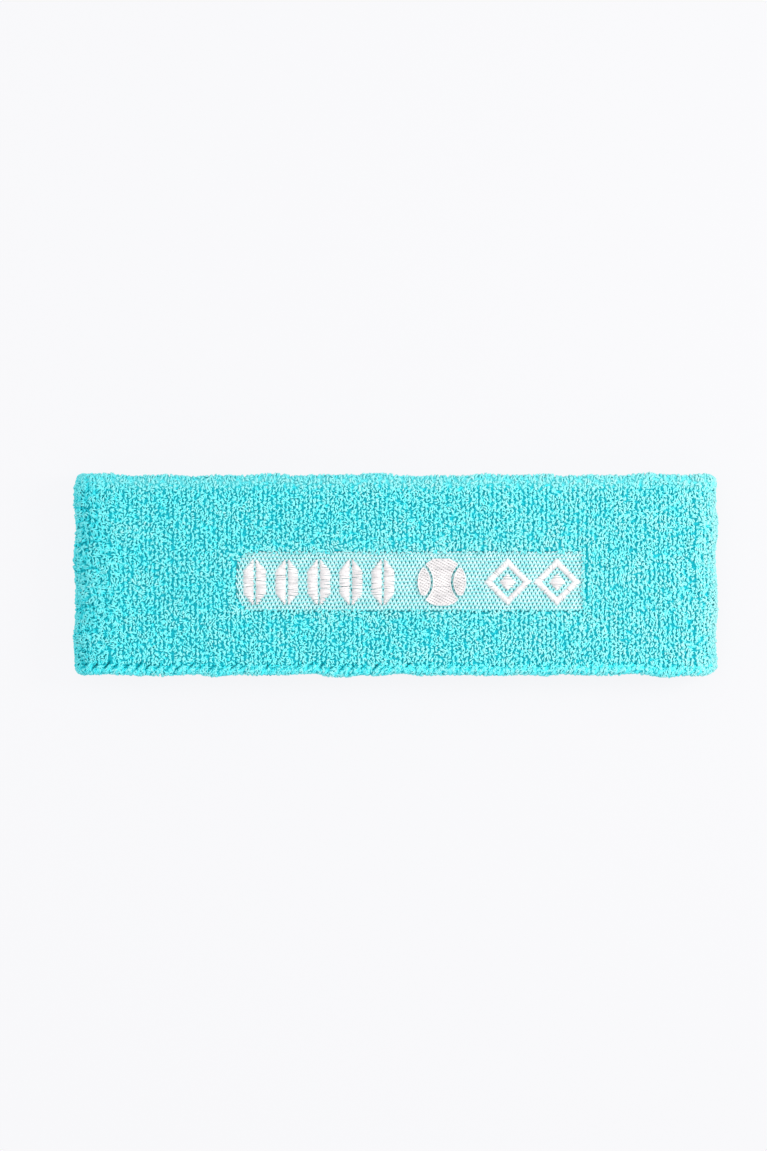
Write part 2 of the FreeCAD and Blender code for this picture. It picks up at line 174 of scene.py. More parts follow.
OVERLOCK_RISE, OVERLOCK_REACH = 0.30, 0.9     # how high strands lie, and how far they run on
ELASTIC_THICK = 0.3
ELASTIC_RINGS = 18                            # elastic threads in each layer
NEEDLE_THREAD = 0.3
CUT_ACROSS, CUT_UP = 3.0, 3.7                 # the cut corners at the window's left end
WINDOW_WALE = 1.10
WINDOW_COURSE = 0.97
WINDOW_YARN = 0.38                            # one of the two strands knitted together
WINDOW_TUCK = 0.5                             # how far the window runs on under the pile
WINDOW_WAVE = 0.32                            # half height of the waves in a course
WINDOW_DEEP = 0.22                            # depth of the strands below the window's top
WINDOW_APART = 0.14                           # how far each strand lies from the middle
THREAD = 0.34                                 # thickness of the embroidery thread
THREAD_PITCH = 0.31
START_SPREAD, END_SPREAD, LIFT_SPREAD = 0.05, 0.07, 0.05     # unevenness of satin threads
THREAD_SINK = 0.12                            # depth at which their ends enter the knit
VEIN = 0.4                                    # half the gap between a lozenge's columns
POINT = 3.2                                   # height of a lozenge's pointed end
BALL_OFFSET, BALL_OUTER, BALL_INNER = 9.0, 6.7, 5.7
FILL_STITCH, FILL_SHIFT = 1.6, 0.36           # length, and the shift from row to row
OUTLINE_STITCH, OUTLINE_RUN = 1.5, 8.0        # length, and the length of one run of them
DIP_HALF = 0.12                               # half width of a needle hole, in stitches
DIAMOND_BAND, DIAMOND_CORE = 2.1, 2.3         # width of the frame, half width of the core
BOBBIN_THREAD = 0.12
BOBBIN_PITCH = 0.4
FIGURES = [*(f"lozenge_{number}" for number in range(1, 6)), "ball_emblem", "diamond_left",
           "diamond_right"]


# ---- smooth noise ----
WAVE_COUNT = 7


def waves(x, y, size, seed):
    """Smooth noise of about unit height: a few sine waves in seeded directions.

    size is the usual length of a wave, in millimetres.
    """
    rng = np.random.default_rng(seed)
    total = np.zeros(np.broadcast(x, y).shape)
    for _ in range(WAVE_COUNT):
        heading, phase = rng.uniform(0, TAU, 2)
        rate = TAU / (size * rng.uniform(0.7, 1.5))
        total = total + np.sin(rate * (x * math.cos(heading) + y * math.sin(heading)) + phase)
    return total / math.sqrt(WAVE_COUNT / 2)


def step(low, high, value):
    """Smooth step from 0 at low to 1 at high; low may be the larger of the two."""
    part = np.clip((value - low) / (high - low), 0, 1)
    return part * part * (3 - 2 * part)


# ---- fabric coordinates ----
def ring(s, radius):
    """X and Z at s along the band, at a radius from the middle of its end folds."""
    s = np.mod(s + WEB, AROUND)
    fold = math.pi * FOLD
    first, back = 2 * WEB, 2 * WEB + fold
    second = back + 2 * WEB
    on_right = (s >= first) & (s < back)
    on_back = (s >= back) & (s < second)
    on_left = s >= second
    angle = np.where(on_right, (s - first) / FOLD, 0.0)
    angle = np.where(on_back, math.pi, angle)
    angle = np.where(on_left, math.pi + (s - second) / FOLD, angle)
    x = np.where(on_right, WEB, s - WEB)
    x = np.where(on_back, WEB - (s - back), x)
    x = np.where(on_left, -WEB, x)
    return x + radius * np.sin(angle), MIDDLE_Z + radius * np.cos(angle)


def tube(s, v, rise):
    """Points of the folded tube: v runs up the outer face, over the turn and down inside."""
    s, v, rise = np.broadcast_arrays(s, v, rise)
    angle = np.clip((v - FACE) / TURN_RADIUS, 0, math.pi)
    down = np.clip(v - FACE - TURN, 0, None)
    y = SEAM_Y + np.clip(v, None, FACE) + (TURN_RADIUS + rise) * np.sin(angle) - down
    radius = (OUTER + INNER) / 2 + (TURN_RADIUS + rise) * np.cos(angle)
    x, z = ring(s, radius)
    return np.stack([x, y, z], axis=-1)


def scatter(number):
    """A repeatable share between 0 and 1 for each whole number."""
    far = np.sin(number * SCATTER_RATE) * SCATTER_GAIN
    return far - np.floor(far)


def slits(x, y):
    """Depth of the slanting slits just above the closed edge, where stitches pull the pile in."""
    number = np.round(x / SLIT_PITCH)
    share = scatter(number)
    odd = share - 0.5
    off_x = x - (number + SLIT_SHIFT * odd) * SLIT_PITCH
    off_y = y - SEAM_Y - SLIT_UP - SLIT_CLIMB * odd
    lean = SLIT_LEAN + SLIT_SWING * odd
    across = (off_y * np.cos(lean) - off_x * np.sin(lean)) / SLIT_HALF_WIDTH
    along = (off_x * np.cos(lean) + off_y * np.sin(lean)) / SLIT_HALF_LENGTH
    deeper_left = 0.4 + 0.6 * step(*DEEPER_SLITS, x)
    return deeper_left * (0.5 + 0.5 * share) * np.exp(-across ** 2 - along ** 2)


def end_creases(x, y):
    """Depth of the short creases across the loose left end, where the fold pulls."""
    depth = np.zeros_like(x)
    for place in CREASES:
        off = y - place - CREASE_SWAY * np.sin(0.9 * x + place) - CREASE_SLANT * (x + WEB)
        depth = depth + np.exp(-(off / CREASE_HALF) ** 2)
    return depth * step(*CREASED_END, x)


def settle(points):
    """Let the band lie as soft cloth does: a sagging front web, creases and uneven edges."""
    x, y, z = points[..., 0], points[..., 1], points[..., 2]
    top = step(MIDDLE_Z, MIDDLE_Z + OUTER, z)
    along = np.clip(np.abs(x) / WEB, 0, 1)
    sag = -SAG * (1 - along ** 2) + SAG_WAVE * waves(x, y, 34, 3)
    crease = np.zeros_like(x)
    for place, depth, lean in FRONT_CREASES:
        off = x - place - lean * y - 0.8 * waves(y, y * 0, 15, int(place) + 200)
        crease = crease - depth * np.exp(-(off / FRONT_CREASE_HALF) ** 2)
    off_corner = (x - CORNER_X + CORNER_LEAN * (y - CORNER_Y)) / CORNER_HALF
    corner = np.exp(-off_corner ** 2) * step(CORNER_Y - 2, CORNER_Y, y)
    corner = corner * step(CORNER_Y + 10, CORNER_Y + 5, y)
    dents = (SLIT_DEPTH * slits(x, y) + CREASE_DEPTH * end_creases(x, y)
             + CORNER_DEPTH * corner)
    lift = top * (sag + crease) - step(MIDDLE_Z + INNER, MIDDLE_Z + OUTER, z) * dents
    upper = step(8.0, TURN_HIGH[1], y)
    lower = step(-8.0, EDGE_Y, y)
    shift = EDGE_WANDER * (upper * waves(x, x * 0, 17, 5) + 1.1 * lower * waves(x, x * 0, 11, 6))
    ends = EDGE_WANDER * waves(y, y * 0, 14, 7) * step(WEB - 10, WEB + FOLD, np.abs(x))
    return np.stack([x + ends, y + shift, z + lift], axis=-1)


# ---- meshes ----
def make_mesh(name, points, faces, material, corners=None, values=None):
    """Make an object from points in millimetres and quads.

    corners holds one bake coordinate for each corner of each face, and values holds named
    numbers for each point, which the materials read.
    """
    mesh = bpy.data.meshes.new(name)
    points = np.asarray(points, np.float32).reshape(-1, 3) * MM
    faces = np.asarray(faces, np.int32).reshape(-1, 4)
    mesh.vertices.add(len(points))
    mesh.vertices.foreach_set("co", points.ravel())
    mesh.loops.add(faces.size)
    mesh.loops.foreach_set("vertex_index", faces.ravel())
    mesh.polygons.add(len(faces))
    mesh.polygons.foreach_set("loop_start", np.arange(0, faces.size, 4, dtype=np.int32))
    mesh.update(calc_edges=True)
    mesh.polygons.foreach_set("use_smooth", np.ones(len(faces), bool))
    if corners is not None:
        layer = mesh.uv_layers.new(name="OFBake")
        layer.data.foreach_set("uv", np.asarray(corners, np.float32).ravel())
    for key, numbers in (values or {}).items():
        attribute = mesh.attributes.new(key, "FLOAT", "POINT")
        attribute.data.foreach_set("value", np.asarray(numbers, np.float32).ravel())
    mesh.materials.append(material)
    piece = bpy.data.objects.new(name, mesh)
    bpy.context.scene.collection.objects.link(piece)
    return piece


def sweep(paths, thickness, sides):
    """Round tubes along many paths at once: paths is (tubes, points, 3)."""
    count, length, _ = paths.shape
    tangent = np.gradient(paths, axis=1)
    tangent /= np.maximum(np.linalg.norm(tangent, axis=2, keepdims=True), 1e-9)
    normal = np.zeros_like(paths)
    first = np.cross(tangent[:, 0], np.array([0.31, 0.87, 0.38]))
    normal[:, 0] = first / np.linalg.norm(first, axis=1, keepdims=True)
    for index in range(1, length):
        across = tangent[:, index]
        moved = normal[:, index - 1]
        moved = moved - across * (moved * across).sum(1, keepdims=True)
        normal[:, index] = moved / np.maximum(np.linalg.norm(moved, axis=1, keepdims=True), 1e-9)
    side = np.cross(tangent, normal)
    angles = np.arange(sides) * TAU / sides
    radius = np.broadcast_to(np.asarray(thickness) / 2, (count, length))[..., None, None]
    circle = (np.cos(angles)[:, None] * normal[:, :, None]
              + np.sin(angles)[:, None] * side[:, :, None])
    points = paths[:, :, None] + radius * circle
    place = np.arange(count)[:, None, None] * length * sides
    row = np.arange(length - 1)[None, :, None] * sides
    turn = np.arange(sides)[None, None, :]
    following = (turn + 1) % sides
    faces = np.stack([place + row + turn, place + row + following,
                      place + row + sides + following, place + row + sides + turn], axis=-1)
    return points.reshape(-1, 3), faces.reshape(-1, 4)


def cells(count, length, sides):
    """Bake coordinates that give each tube a cell of its own in a square sheet of cells."""
    across = math.ceil(math.sqrt(count))
    tube_number = np.arange(count)
    corner = np.stack([tube_number % across, tube_number // across], axis=-1)
    along = np.arange(length - 1) / (length - 1)
    around = np.arange(sides) / sides
    low = np.stack(np.broadcast_arrays(along[:, None], around[None, :]), axis=-1)
    move = np.array([[0, 0], [0, 1 / sides], [1 / (length - 1), 1 / sides], [1 / (length - 1), 0]])
    inside = 0.06 + 0.88 * (low[:, :, None, :] + move)
    return (corner[:, None, None, None, :] + inside[None]) / across


def make_tubes(name, paths, thickness, sides, material, values=None):
    """Tubes along many paths as one object; values are per path point."""
    points, faces = sweep(paths, thickness, sides)
    count, length, _ = paths.shape
    spread = {key: np.repeat(np.broadcast_to(numbers, (count, length)).ravel(), sides)
              for key, numbers in (values or {}).items()}
    return make_mesh(name, points, faces, material, cells(count, length, sides), spread)


def make_sheet(name, points, material, values=None):
    """A surface through a grid of points, with values for each of them if asked."""
    rows, columns, _ = points.shape
    faces = grid_faces(rows, columns).reshape(-1, 4)
    column, row = np.meshgrid(np.arange(columns) / (columns - 1), np.arange(rows) / (rows - 1))
    flat = np.stack([column, row], axis=-1).reshape(-1, 2)
    return make_mesh(name, points, faces, material, flat[faces.ravel()], values)


def grid_faces(rows, columns):
    """Quads of a rows by columns grid of points."""
    row = np.arange(rows - 1)[:, None] * columns
    column = np.arange(columns - 1)[None, :]
    corner = row + column
    return np.stack([corner, corner + 1, corner + columns + 1, corner + columns], axis=-1)


# ---- materials ----
def new_material(name, color, roughness, specular, sheen=0.0, tint=(1, 1, 1, 1)):
    """A cloth material and its shader, with its plain values set on the shader."""
    material = bpy.data.materials.new(name)
    material.use_nodes = True
    shader = material.node_tree.nodes["Principled BSDF"]
    shader.inputs["Base Color"].default_value = (*color, 1)
    shader.inputs["Roughness"].default_value = roughness
    shader.inputs["Sheen Weight"].default_value = sheen
    shader.inputs["Sheen Roughness"].default_value = 0.4
    shader.inputs["Sheen Tint"].default_value = tint
    shader.inputs["Specular IOR Level"].default_value = specular
    return material, shader


def add_noise(material, scale, detail=2.0):
    """A noise texture in the object's own metres."""
    nodes, links = material.node_tree.nodes, material.node_tree.links
    place = nodes.new("ShaderNodeTexCoord")
    noise = nodes.new("ShaderNodeTexNoise")
    noise.inputs["Scale"].default_value = scale
    noise.inputs["Detail"].default_value = detail
    links.new(place.outputs["Object"], noise.inputs["Vector"])
    return noise


def add_ramp(material, source, stops):
    """A colour ramp over a texture's factor."""
    nodes, links = material.node_tree.nodes, material.node_tree.links
    ramp = nodes.new("ShaderNodeValToRGB")
    elements = ramp.color_ramp.elements
    for index, (place, color) in enumerate(stops):
        element = elements[index] if index < 2 else elements.new(place)
        element.position = place
        element.color = (*color, 1)
    links.new(source, ramp.inputs["Fac"])
    return ramp


def add_bump(material, shader, height, distance, strength=1.0):
    """Bump from a height texture, with its distance in metres."""
    nodes, links = material.node_tree.nodes, material.node_tree.links
    bump = nodes.new("ShaderNodeBump")
    bump.inputs["Distance"].default_value = distance
    bump.inputs["Strength"].default_value = strength
    links.new(height, bump.inputs["Height"])
    links.new(bump.outputs["Normal"], shader.inputs["Normal"])


def cotton(name, shade, light, roughness=0.9, sheen=0.0, tint=(0.75, 1, 1, 1), blotches=420):
    """Spun cotton: blotches of two shades and fine fibre bump."""
    material, shader = new_material(name, light, roughness, 0.3, sheen, tint)
    blotch = add_noise(material, blotches, 3.0)
    ramp = add_ramp(material, blotch.outputs["Fac"], [(0.3, shade), (0.7, light)])
    material.node_tree.links.new(ramp.outputs["Color"], shader.inputs["Base Color"])
    fibre = add_noise(material, 9000)
    add_bump(material, shader, fibre.outputs["Fac"], 0.00006, 0.7)
    return material


def color_socket(sockets, name):
    """The colour socket of a mix node, which has one of each name for every type."""
    return next(one for one in sockets if one.name == name and one.type == "RGBA")


def pile_cotton(name, stops, rim_stops):
    """Pile yarn painted with shade at its roots and a highlight at its tips.

    rim_stops are darker colours where the pile opens up over the rims of the band: painted shade.
    """
    material, shader = new_material(name, stops[-1][1], 0.6, 0.15, 0.04, (0.8, 1, 1, 1))
    nodes, links = material.node_tree.nodes, material.node_tree.links
    painted_light_and_tone = nodes.new("ShaderNodeAttribute")
    painted_light_and_tone.attribute_name = "painted_light_and_tone"
    blotch = add_noise(material, 1500)
    vary = nodes.new("ShaderNodeMath")
    vary.operation = "MULTIPLY_ADD"
    vary.inputs[1].default_value = BLOTCH
    vary.inputs[2].default_value = -BLOTCH / 2
    links.new(blotch.outputs["Fac"], vary.inputs[0])
    height = nodes.new("ShaderNodeMath")
    height.operation = "ADD"
    links.new(painted_light_and_tone.outputs["Fac"], height.inputs[0])
    links.new(vary.outputs["Value"], height.inputs[1])
    rim = nodes.new("ShaderNodeAttribute")
    rim.attribute_name = "rim"
    both = nodes.new("ShaderNodeMix")
    both.data_type = "RGBA"
    links.new(rim.outputs["Fac"], both.inputs["Factor"])
    for socket, colors in (("A", stops), ("B", rim_stops)):
        ramp = add_ramp(material, height.outputs["Value"], colors)
        links.new(ramp.outputs["Color"], color_socket(both.inputs, socket))
    links.new(color_socket(both.outputs, "Result"), shader.inputs["Base Color"])
    fibre = add_noise(material, 4000)
    add_bump(material, shader, fibre.outputs["Fac"], 0.00012, 1.0)
    return material


# Pile colours from roots to tips: painted shade at the roots, a painted highlight at the tips.
# DEEP is the ground knit's colour deep under the pile, also painted shade.
DEEP = (0.003, 0.40, 0.48)
ROOT = (0.004, 0.62, 0.71)
FLANK = (0.05, 0.79, 0.85)
TIP = (0.20, 0.80, 0.82)
PAINTED_HIGHLIGHT = (0.36, 0.79, 0.79)
# The next ramp holds darker colours for the rims: painted shade, as the open rims catch more
# light.
PAINTED_RIM_SHADE = [(0.10, (0.005, 0.52, 0.60)), (0.45, (0.052, 0.67, 0.73)), (0.80, (0.215, 0.71, 0.73)),
        (1.0, (0.37, 0.72, 0.72))]

terry_material = pile_cotton(
    "terry_cotton", [(0.10, ROOT), (0.45, FLANK), (0.80, TIP), (1.0, PAINTED_HIGHLIGHT)], PAINTED_RIM_SHADE)
ground_material = pile_cotton(
    "ground_knit", [(0.0, DEEP), (0.25, ROOT), (0.6, FLANK), (0.9, TIP)], PAINTED_RIM_SHADE)
seam_material = cotton("seam_yarn", FLANK, (0.14, 0.78, 0.82), sheen=0.15)
window_material = cotton("window_knit_blue", (0.20, 0.68, 0.70), (0.38, 0.76, 0.78), sheen=0.1)
white_material = cotton("window_knit_white", (0.52, 0.76, 0.77), (0.74, 0.84, 0.84), sheen=0.1)
# Painted shade: a sheet darker than the ground knit, seen through the window's holes.
window_shade_material = cotton("window_back_shade", (0.02, 0.22, 0.25), (0.05, 0.30, 0.33), sheen=0.0)
elastic_material = cotton("covered_elastic", (0.5, 0.62, 0.62), (0.75, 0.85, 0.85), sheen=0.1)
thread_material = cotton("stitch_thread", (0.67, 0.65, 0.66), (0.82, 0.795, 0.80), 0.5, 0.02,
                         (1, 1, 1, 1))
felt_material = cotton("backing_felt", (0.62, 0.62, 0.60), (0.80, 0.80, 0.78), 0.95, 0.1,
                       (1, 1, 1, 1), 900)
bobbin_material = cotton("bobbin_cotton", (0.66, 0.66, 0.65), (0.84, 0.84, 0.83), 0.6, 0.0)


def in_window(x, y, margin):
    """Whether a place on the front lies over the window, grown by a margin."""
    low, high = WINDOW_LOW - margin, WINDOW_HIGH + margin
    inside = (x > low[0]) & (x < high[0]) & (y > low[1]) & (y < high[1])
    near = np.minimum(y - low[1], high[1] - y) / CUT_UP + (x - low[0]) / CUT_ACROSS
    return inside & (near > 1)


# ---- ground knit ----
def make_ground():
    """The knit that carries the pile, with its matted roots: one sheet, folded over the top."""
    columns, rows = 600, 160
    s, v = np.meshgrid(np.linspace(0, AROUND, columns),
                       np.linspace(-SEAM_TUCK, 2 * FACE + TURN + SEAM_TUCK, rows))
    flat = tube(s, v, 0.0)
    on_front = (flat[..., 2] > MIDDLE_Z) & (v < FACE)
    roots = np.where(on_front & in_window(flat[..., 0], flat[..., 1], 1.0), -0.1, ROOTS)
    over_turn = step(FACE - 3, FACE, v) * step(FACE + TURN + 3, FACE + TURN, v)
    roots = roots + 0.06 * waves(s, v, 1.6, 21) + 0.2 * over_turn
    # Painted shade: the ramp's deepest colours, lifting over the top edge, where the rim colours
    # take over.
    return make_sheet("terry_ground", settle(tube(s, v, roots)), ground_material,
                      {"painted_light_and_tone": 0.08 + 0.57 * over_turn, "rim": over_turn})


# ---- pile ----
def part_wales(s, v):
    """Shift of wales away from the lines where the folded band opens between two of them."""
    place = tube(s, v, 0.0)
    front = step(MIDDLE_Z, MIDDLE_Z + 2, place[:, 2])
    shift = np.zeros(len(s))
    for line, width, reach in PARTINGS:
        along = v + 0 * s
        wander = 0.35 * waves(along, along * 0, 9, int(line) + 300)
        opening = width * (0.6 + 0.5 * waves(along, along * 0, 6, int(line) + 500)).clip(0, 1.4)
        off = place[:, 0] - line - wander
        opening = opening * step(reach + 2, reach - 2, np.abs(place[:, 1]))
        shift = shift + opening * np.tanh(off / 0.3) * np.exp(-(off / 1.5) ** 2)
    return front * shift


def pile_loops(surface, s, v, top, size, heading, bend, mess, strands, points, rng):
    """Paths of pile loops rooted at (s, v) of a surface.

    The strands of a stitch lie side by side. They rise to top, run along the stitch's heading,
    bow apart and close again, so that a stitch looks like a small petal from above.
    """
    count = len(s)
    t = np.linspace(-1, 1, points)[None, None, :]

    def each(common, own):
        common = np.broadcast_to(common, count)[:, None, None]
        return common + own * rng.standard_normal((count, strands, 1))

    bend = bend * rng.standard_normal(count)
    mess = np.broadcast_to(mess, count)[:, None, None]
    tilt = (STRAND_TILT * rng.standard_normal(count))[:, None, None]
    lane = (np.arange(strands) - (strands - 1) / 2)[None, :, None] * STRAND_GAP
    head = 1 - np.abs(t) ** 3
    half = LOOP_HALF * each(size, STRAND_SIZE)
    along = half * t * (1 - 0.12 * t ** 2) + each(0.0, STRAND_ALONG)
    aside = lane * (1.0 - 0.3 * t ** 2) + each(bend, STRAND_BEND) * (1 - 2 * t ** 2)
    aside = aside + mess * each(0.0, STRAND_ASIDE)
    rise = each(top, STRAND_RISE) * head + tilt * t * head
    turn = heading[:, None, None] + mess * each(0.0, STRAND_TURN)
    side = aside * np.cos(turn) + along * np.sin(turn)
    over = along * np.cos(turn) - aside * np.sin(turn)
    paths = surface(s[:, None, None] + side, v[:, None, None] + over, rise)
    return paths.reshape(-1, points, 3), rise.reshape(-1, points)


def painted_light_and_tone(paths, rise, height, rng):
    """How pale the yarn is painted: painted highlight high in the pile, painted light to the
    right.
    """
    x, y = paths[..., 0], paths[..., 1]
    own = OWN_SPREAD * rng.standard_normal((len(paths), 1)) + OWN_WAVE * waves(x, y, 11, 36)
    # Painted light paler toward the right; painted shade at the left end, in slits and in creases.
    light_and_shade = RIGHT_PALER * step(-WEB - FOLD, WEB + FOLD, x)
    light_and_shade = light_and_shade + RIGHT_END_PALER * step(*PALE_RIGHT_END, x)
    light_and_shade = light_and_shade - LEFT_DEEPER * step(*DEEP_LEFT_END, x)
    light_and_shade = light_and_shade - SLIT_DEEPER * slits(x, y) - CREASE_DEEPER * end_creases(x, y)
    off_x = np.maximum(WINDOW_LOW[0] - x, x - WINDOW_HIGH[0]).clip(0)
    off_y = np.maximum(WINDOW_LOW[1] - y, y - WINDOW_HIGH[1]).clip(0)
    beside = np.exp(-(off_x ** 2 + off_y ** 2) / BESIDE_REACH)
    even = step(*EVEN_SHADES, x)
    # Painted highlight on yarn high in the pile, painted shade low in it; less of both on the
    # right half.
    high = (TIP_PALER - TIP_EVEN * even) * np.clip(rise / height, 0, 1)
    return ROOT_PALE + ROOT_EVEN * even + high + light_and_shade + own + BESIDE_PALER * beside


def stitches(s_from, s_to, v_from, v_to, rng):
    """Jittered places of the stitches of a stretch, and which of them are the high courses."""
    first, last = math.ceil(s_from / WALE - 0.5), math.ceil(s_to / WALE - 0.5)
    wale = np.arange(first, last)
    course = np.arange(math.ceil((v_to - v_from) / COURSE))
    s, v = np.meshgrid(wale * (AROUND / WALES), v_from + course * COURSE)
    v = v + WALE_SWAY * COURSE * np.sin(SWAY_RATE * wale)
    high = np.broadcast_to((course % 2)[:, None], s.shape).ravel()
    s = s.ravel() + HIGH_SHIFT * (2 * high - 1) + PLACE_SPREAD * rng.standard_normal(s.size)
    v = v.ravel() + PLACE_SPREAD * rng.standard_normal(v.size)
    return s, v, high


def make_pile(name, s_from, s_to, v_from, v_to, height, points, sides, strands, seed):
    """One stretch of pile: one petal of loops on every stitch."""
    rng = np.random.default_rng(seed)
    s, v, high = stitches(s_from, s_to, v_from, v_to, rng)
    s = s + part_wales(s, v)
    root = tube(s, v, 0.0)
    on_front = (root[:, 2] > MIDDLE_Z) & (v < FACE)
    keep = ~(on_front & in_window(root[:, 0], root[:, 1], 0.3))
    s, v, root, high = s[keep], v[keep], root[keep], high[keep]
    loose = step(*LOOSE_END, root[:, 0])
    rolled = step(FACE - 3.5, FACE, v)
    size = 1 + SIZE_SPREAD * rng.standard_normal(len(s)) + SIZE_WAVE * waves(s, v, 5.0, 31)
    size = (size * (1 + LOOSER * loose)).clip(SIZE_SHORT, SIZE_LONG)
    even = step(*EVEN_STITCHES, root[:, 0])
    spread = HEADING_SPREAD + HEADING_LOOSE * loose + HEADING_ROLLED * rolled - HEADING_EVEN * even
    heading = spread * rng.standard_normal(len(s)) + HEADING_WAVE * waves(s, v, 3.5, 32)
    crossed = rng.random(len(s)) < CROSSED * (1 - 0.7 * even)
    heading = heading + CROSSED_TURN * crossed * np.sign(heading)
    uneven = (TOP_SPREAD + TOP_LOOSE * loose) * rng.standard_normal(len(s))
    uneven = uneven + TOP_WAVE * waves(s, v, 6.0, 33) + 0.07 * crossed
    top = height * (LOOP_TOP + HIGH_COURSE * high + uneven - 0.08 * rolled)
    bend = LOOP_BEND + BEND_LOOSE * loose
    mess = 1 - 0.12 * even
    paths, rise = pile_loops(tube, s, v, top, size, heading, bend, mess, strands, points, rng)
    rolled = np.repeat(rolled, strands)[:, None]
    pale = painted_light_and_tone(paths, rise, 0.72 * height, rng)
    # Painted shade on the top edge and both ends, where the open rims catch more light.
    rim = np.maximum(rolled, step(*RIGHT_RIM_END, paths[..., 0]))
    pale = pale * (1 - RIM_SHARE * rim) + RIM_PALE * rim
    rim = np.maximum(rim, LEFT_RIM * step(*LEFT_RIM_END, paths[..., 0]))
    spread = THICK_SPREAD * rng.standard_normal((len(paths), 1))
    thickness = YARN * (STRANDS / strands) ** 0.4 * (1 + spread + THICK_ROLLED * rolled)
    return make_tubes(name, settle(paths), thickness, sides, terry_material,
                      {"painted_light_and_tone": pale, "rim": rim})


# ---- the closed bottom edge ----
def edge(s, v, rise):
    """Points round the closed bottom edge: v runs from the outer side to the inner side."""
    s, v, rise = np.broadcast_arrays(s, v, rise)
    angle = v / EDGE_HALF
    radius = (OUTER + INNER) / 2 + (EDGE_HALF + rise) * np.cos(angle)
    y = SEAM_Y - (EDGE_DROP + rise) * np.sin(angle)
    x, z = ring(s, radius)
    return np.stack([x, y, z], axis=-1)


def make_seam():
    """The pressed raw edges inside the seam."""
    s = np.linspace(0, AROUND, 700)
    v = np.linspace(-0.3, EDGE_ROUND + 0.3, 24)
    points = settle(edge(s[None, :], v[:, None], 0.0))
    # Painted shade: a fixed middle place on the ramp, mostly in the darker rim colours.
    return make_sheet("seam_core", points, ground_material,
                      {"painted_light_and_tone": np.full(points.shape[:2], 0.4),
                       "rim": np.full(points.shape[:2], 0.7)})


def groove(s, v):
    """1 where an overlock stitch presses the edge in, 0 halfway between two stitches."""
    place = (s - OVERLOCK_SLANT * (1 - 2 * v / EDGE_ROUND)) / OVERLOCK_PITCH
    off = np.abs((place + 0.5) % 1 - 0.5) * OVERLOCK_PITCH
    return np.exp(-(off / GROOVE_HALF) ** 2)


def make_edge_pile(name, s_from, s_to, seed):
    """Pile caught in the closed edge: petals that slant round it between the stitches."""
    rng = np.random.default_rng(seed)
    s, v, _ = stitches(s_from, s_to, 0.0, EDGE_ROUND, rng)
    pressed = groove(s, v)
    top = EDGE_TOP + EDGE_TOP_WAVE * waves(s, v, 9.0, 35) - EDGE_TOP_PRESSED * pressed
    heading = EDGE_HEADING + EDGE_HEADING_SPREAD * rng.standard_normal(len(s))
    size = (1.0 + SIZE_SPREAD * rng.standard_normal(len(s))).clip(0.7, 1.4)
    paths, rise = pile_loops(edge, s, v, top, size, heading, 0.1, 1.0, STRANDS, 8, rng)
    # Painted shade: a flattened place on the ramp, mostly in the darker rim colours.
    return make_tubes(name, settle(paths), YARN, 5, terry_material,
                      {"painted_light_and_tone": EDGE_PALE + EDGE_CONTRAST * painted_light_and_tone(paths, rise, 0.6, rng),
                       "rim": np.full(rise.shape, EDGE_RIM)})


def make_overlock():
    """Overlock threads that slant over the bottom edge, a few strands to a stitch."""
    rng = np.random.default_rng(41)
    groups = int(round(AROUND / OVERLOCK_PITCH))
    middle = np.repeat(np.arange(groups) * AROUND / groups, OVERLOCK_STRANDS)
    order = np.tile(np.arange(OVERLOCK_STRANDS), groups) - (OVERLOCK_STRANDS - 1) / 2
    s = middle + order * OVERLOCK_YARN * 1.05 + 0.06 * rng.standard_normal(len(middle))
    reach = 0.2 * rng.standard_normal((len(s), 1))
    v = np.linspace(-OVERLOCK_REACH, EDGE_ROUND + OVERLOCK_REACH, 15)[None, :] + reach
    paths = edge(s[:, None] + OVERLOCK_SLANT * (1 - 2 * v / EDGE_ROUND), v, OVERLOCK_RISE)
    return make_tubes("overlock_strands", settle(paths), OVERLOCK_YARN, 6, seam_material)


def make_needle_line():
    """The needle thread that locks the overlock strands, on both sides of the seam."""
    s = np.linspace(0, AROUND, 900)
    rise = 0.45 + 0.12 * np.sin(s / OVERLOCK_PITCH * TAU)
    lines = [edge(s, v, rise) for v in (-0.5, EDGE_ROUND + 0.5)]
    return make_tubes("needle_line", settle(np.stack(lines)), NEEDLE_THREAD, 5, seam_material)


def make_all_pile():
    """The whole pile, in stretches round the band: outside, inside and on the edge."""
    start = -WEB - math.pi * FOLD
    outer_edges = np.linspace(start, start + AROUND, OUTER_STRETCHES + 1)
    inner_edges = np.linspace(start, start + AROUND, INNER_STRETCHES + 1)
    edge_ends = np.linspace(start, start + AROUND, EDGE_STRETCHES + 1)
    pieces = [make_pile(f"outer_pile_{index + 1}", outer_edges[index], outer_edges[index + 1],
                        -0.3, FACE + TURN, PILE, 8, 5, STRANDS, 100 + index)
              for index in range(OUTER_STRETCHES)]
    pieces += [make_pile(f"inner_pile_{index + 1}", inner_edges[index], inner_edges[index + 1],
                         FACE + TURN, 2 * FACE + TURN + SEAM_TUCK, INNER_PILE, 7, 4, 1,
                         200 + index)
               for index in range(INNER_STRETCHES)]
    pieces += [make_edge_pile(f"edge_pile_{index + 1}", edge_ends[index], edge_ends[index + 1],
                              300 + index) for index in range(EDGE_STRETCHES)]
    return pieces


